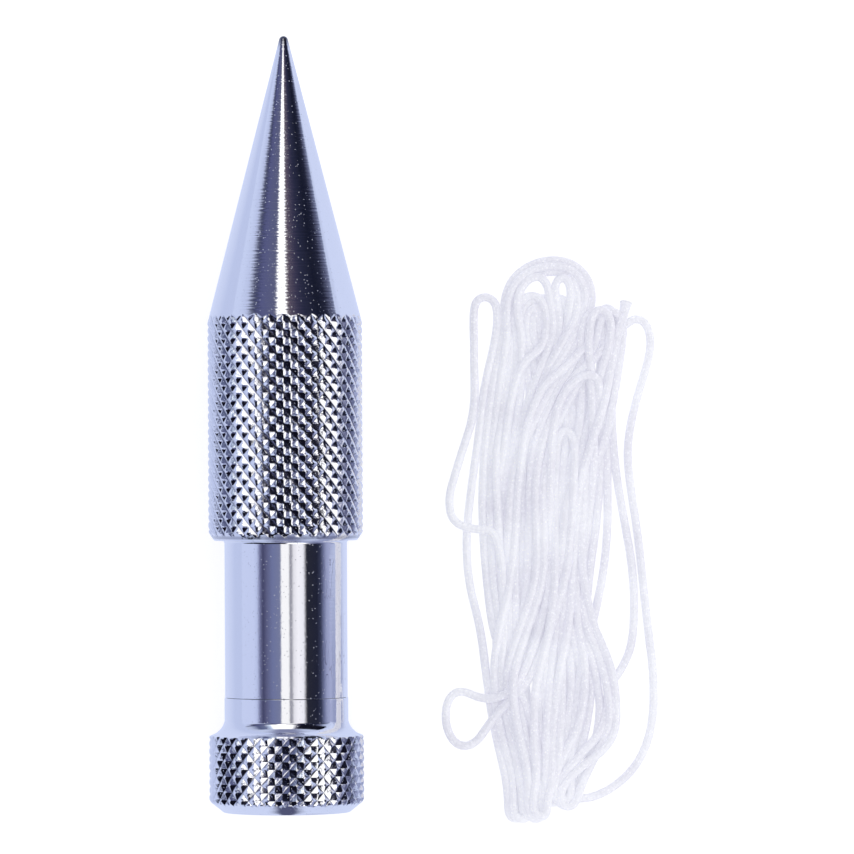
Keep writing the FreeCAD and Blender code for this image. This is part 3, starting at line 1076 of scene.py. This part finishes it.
def make_line():
    """The whole braided line as one tube."""
    centre = settled_centre()
    steps = np.linalg.norm(np.diff(centre, axis=0), axis=1)
    s = np.concatenate([[0], np.cumsum(steps)])
    verts = rings_round(centre, s).reshape(-1, 3) * MM
    mesh = bpy.data.meshes.new("line_braided")
    mesh.from_pydata([tuple(v) for v in verts], [], tube_faces(len(centre)))
    add_braid_map(mesh, s)
    mesh.polygons.foreach_set("use_smooth", np.ones(len(mesh.polygons), bool))
    mesh.update()
    line = bpy.data.objects.new("line_braided", mesh)
    bpy.context.collection.objects.link(line)
    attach(line, "line")
    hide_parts("line_hank", "line_right_loop", "line_right_strand", "line_left_strand",
                "line_lower_left_loop")
    return line


def nylon_colour(tree, place):
    """White with faint grey patches, and bright grains painted where filaments glint."""
    stretch = tree.nodes.new("ShaderNodeMapping")
    stretch.inputs["Scale"].default_value = (11.0, 4.0, 1.0)
    tree.links.new(place, stretch.inputs["Vector"])
    nearness, chance, other_chance = cells(tree, stretch.outputs[0], 1.0)
    # Painted glints: random bright dots in the base colour, where filaments would catch the light.
    dots = stepped(tree, nearness, 0.45, 0.85)
    painted_glint = math_node(tree, "MULTIPLY", dots, stepped(tree, chance, 0.35, 0.95))
    patches = noise(tree, tree.nodes.new("ShaderNodeTexCoord").outputs["Object"], 90.0)
    shade = stepped(tree, patches, 0.35, 0.65)
    plain = mixed(tree, shade, (0.645, 0.64, 0.70, 1), (0.735, 0.74, 0.775, 1))
    grain = math_node(tree, "MULTIPLY", other_chance, 0.22)
    lighter = math_node(tree, "ADD", grain, math_node(tree, "MULTIPLY", painted_glint, 0.5))
    return mixed(tree, lighter, plain, (0.93, 0.93, 0.96, 1))


def braid_picks(tree, place):
    """The height of the braid: bundles that cross over and under each other, four each way round."""
    u, v, _ = parts_of(tree, place)
    around = math_node(tree, "MULTIPLY", u, 8 * math.pi)
    lengthwise = math_node(tree, "MULTIPLY", v, 2 * math.pi)
    one = math_node(tree, "SINE", math_node(tree, "ADD", around, lengthwise), 0)
    two = math_node(tree, "SINE", math_node(tree, "SUBTRACT", around, lengthwise), 0)
    return math_node(tree, "MULTIPLY", one, two)


def make_nylon():
    """White braided nylon: crossing bundles of filaments that glint where they face the light, with glints
    painted into the colour as well and a faint painted glow.
    """
    material, tree, out = new_material("white_braided_nylon")
    place = tree.nodes.new("ShaderNodeUVMap")
    place.uv_map = "braid"
    shader = tree.nodes.new("ShaderNodeBsdfPrincipled")
    shader.inputs["Roughness"].default_value = 0.4
    shader.inputs["Subsurface Weight"].default_value = 0.35
    shader.inputs["Subsurface Radius"].default_value = (1.0, 1.0, 1.0)
    shader.inputs["Subsurface Scale"].default_value = 0.0005
    # Painted light: a faint glow that lightens the line, most of all in its crevices, in place of light
    # scattered through the nylon.
    shader.inputs["Emission Color"].default_value = (0.93, 0.94, 1.0, 1)
    shader.inputs["Emission Strength"].default_value = 0.2
    tree.links.new(nylon_colour(tree, place.outputs[0]), shader.inputs["Base Color"])
    tree.links.new(bump(tree, braid_picks(tree, place.outputs[0]), 0.5), shader.inputs["Normal"])
    tree.links.new(shader.outputs[0], out.inputs[0])
    return material


# ---- the scene -------------------------------------------------------
chrome = make_chrome()
for maker, node, body, slot_name in (
    (make_bob_body, "bob_body", "bob", "chromed_steel"),
    (make_screw_cap, "screw_cap", "cap", "chromed_steel_cap"),
):
    piece = maker()
    piece.data.materials.append(chrome)
    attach(piece, body)
    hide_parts(node)

make_studio()
make_floor()
make_camera()
make_line().data.materials.append(make_nylon())
view = bpy.context.scene.view_settings
view.view_transform = "Standard"
view.look = "None"
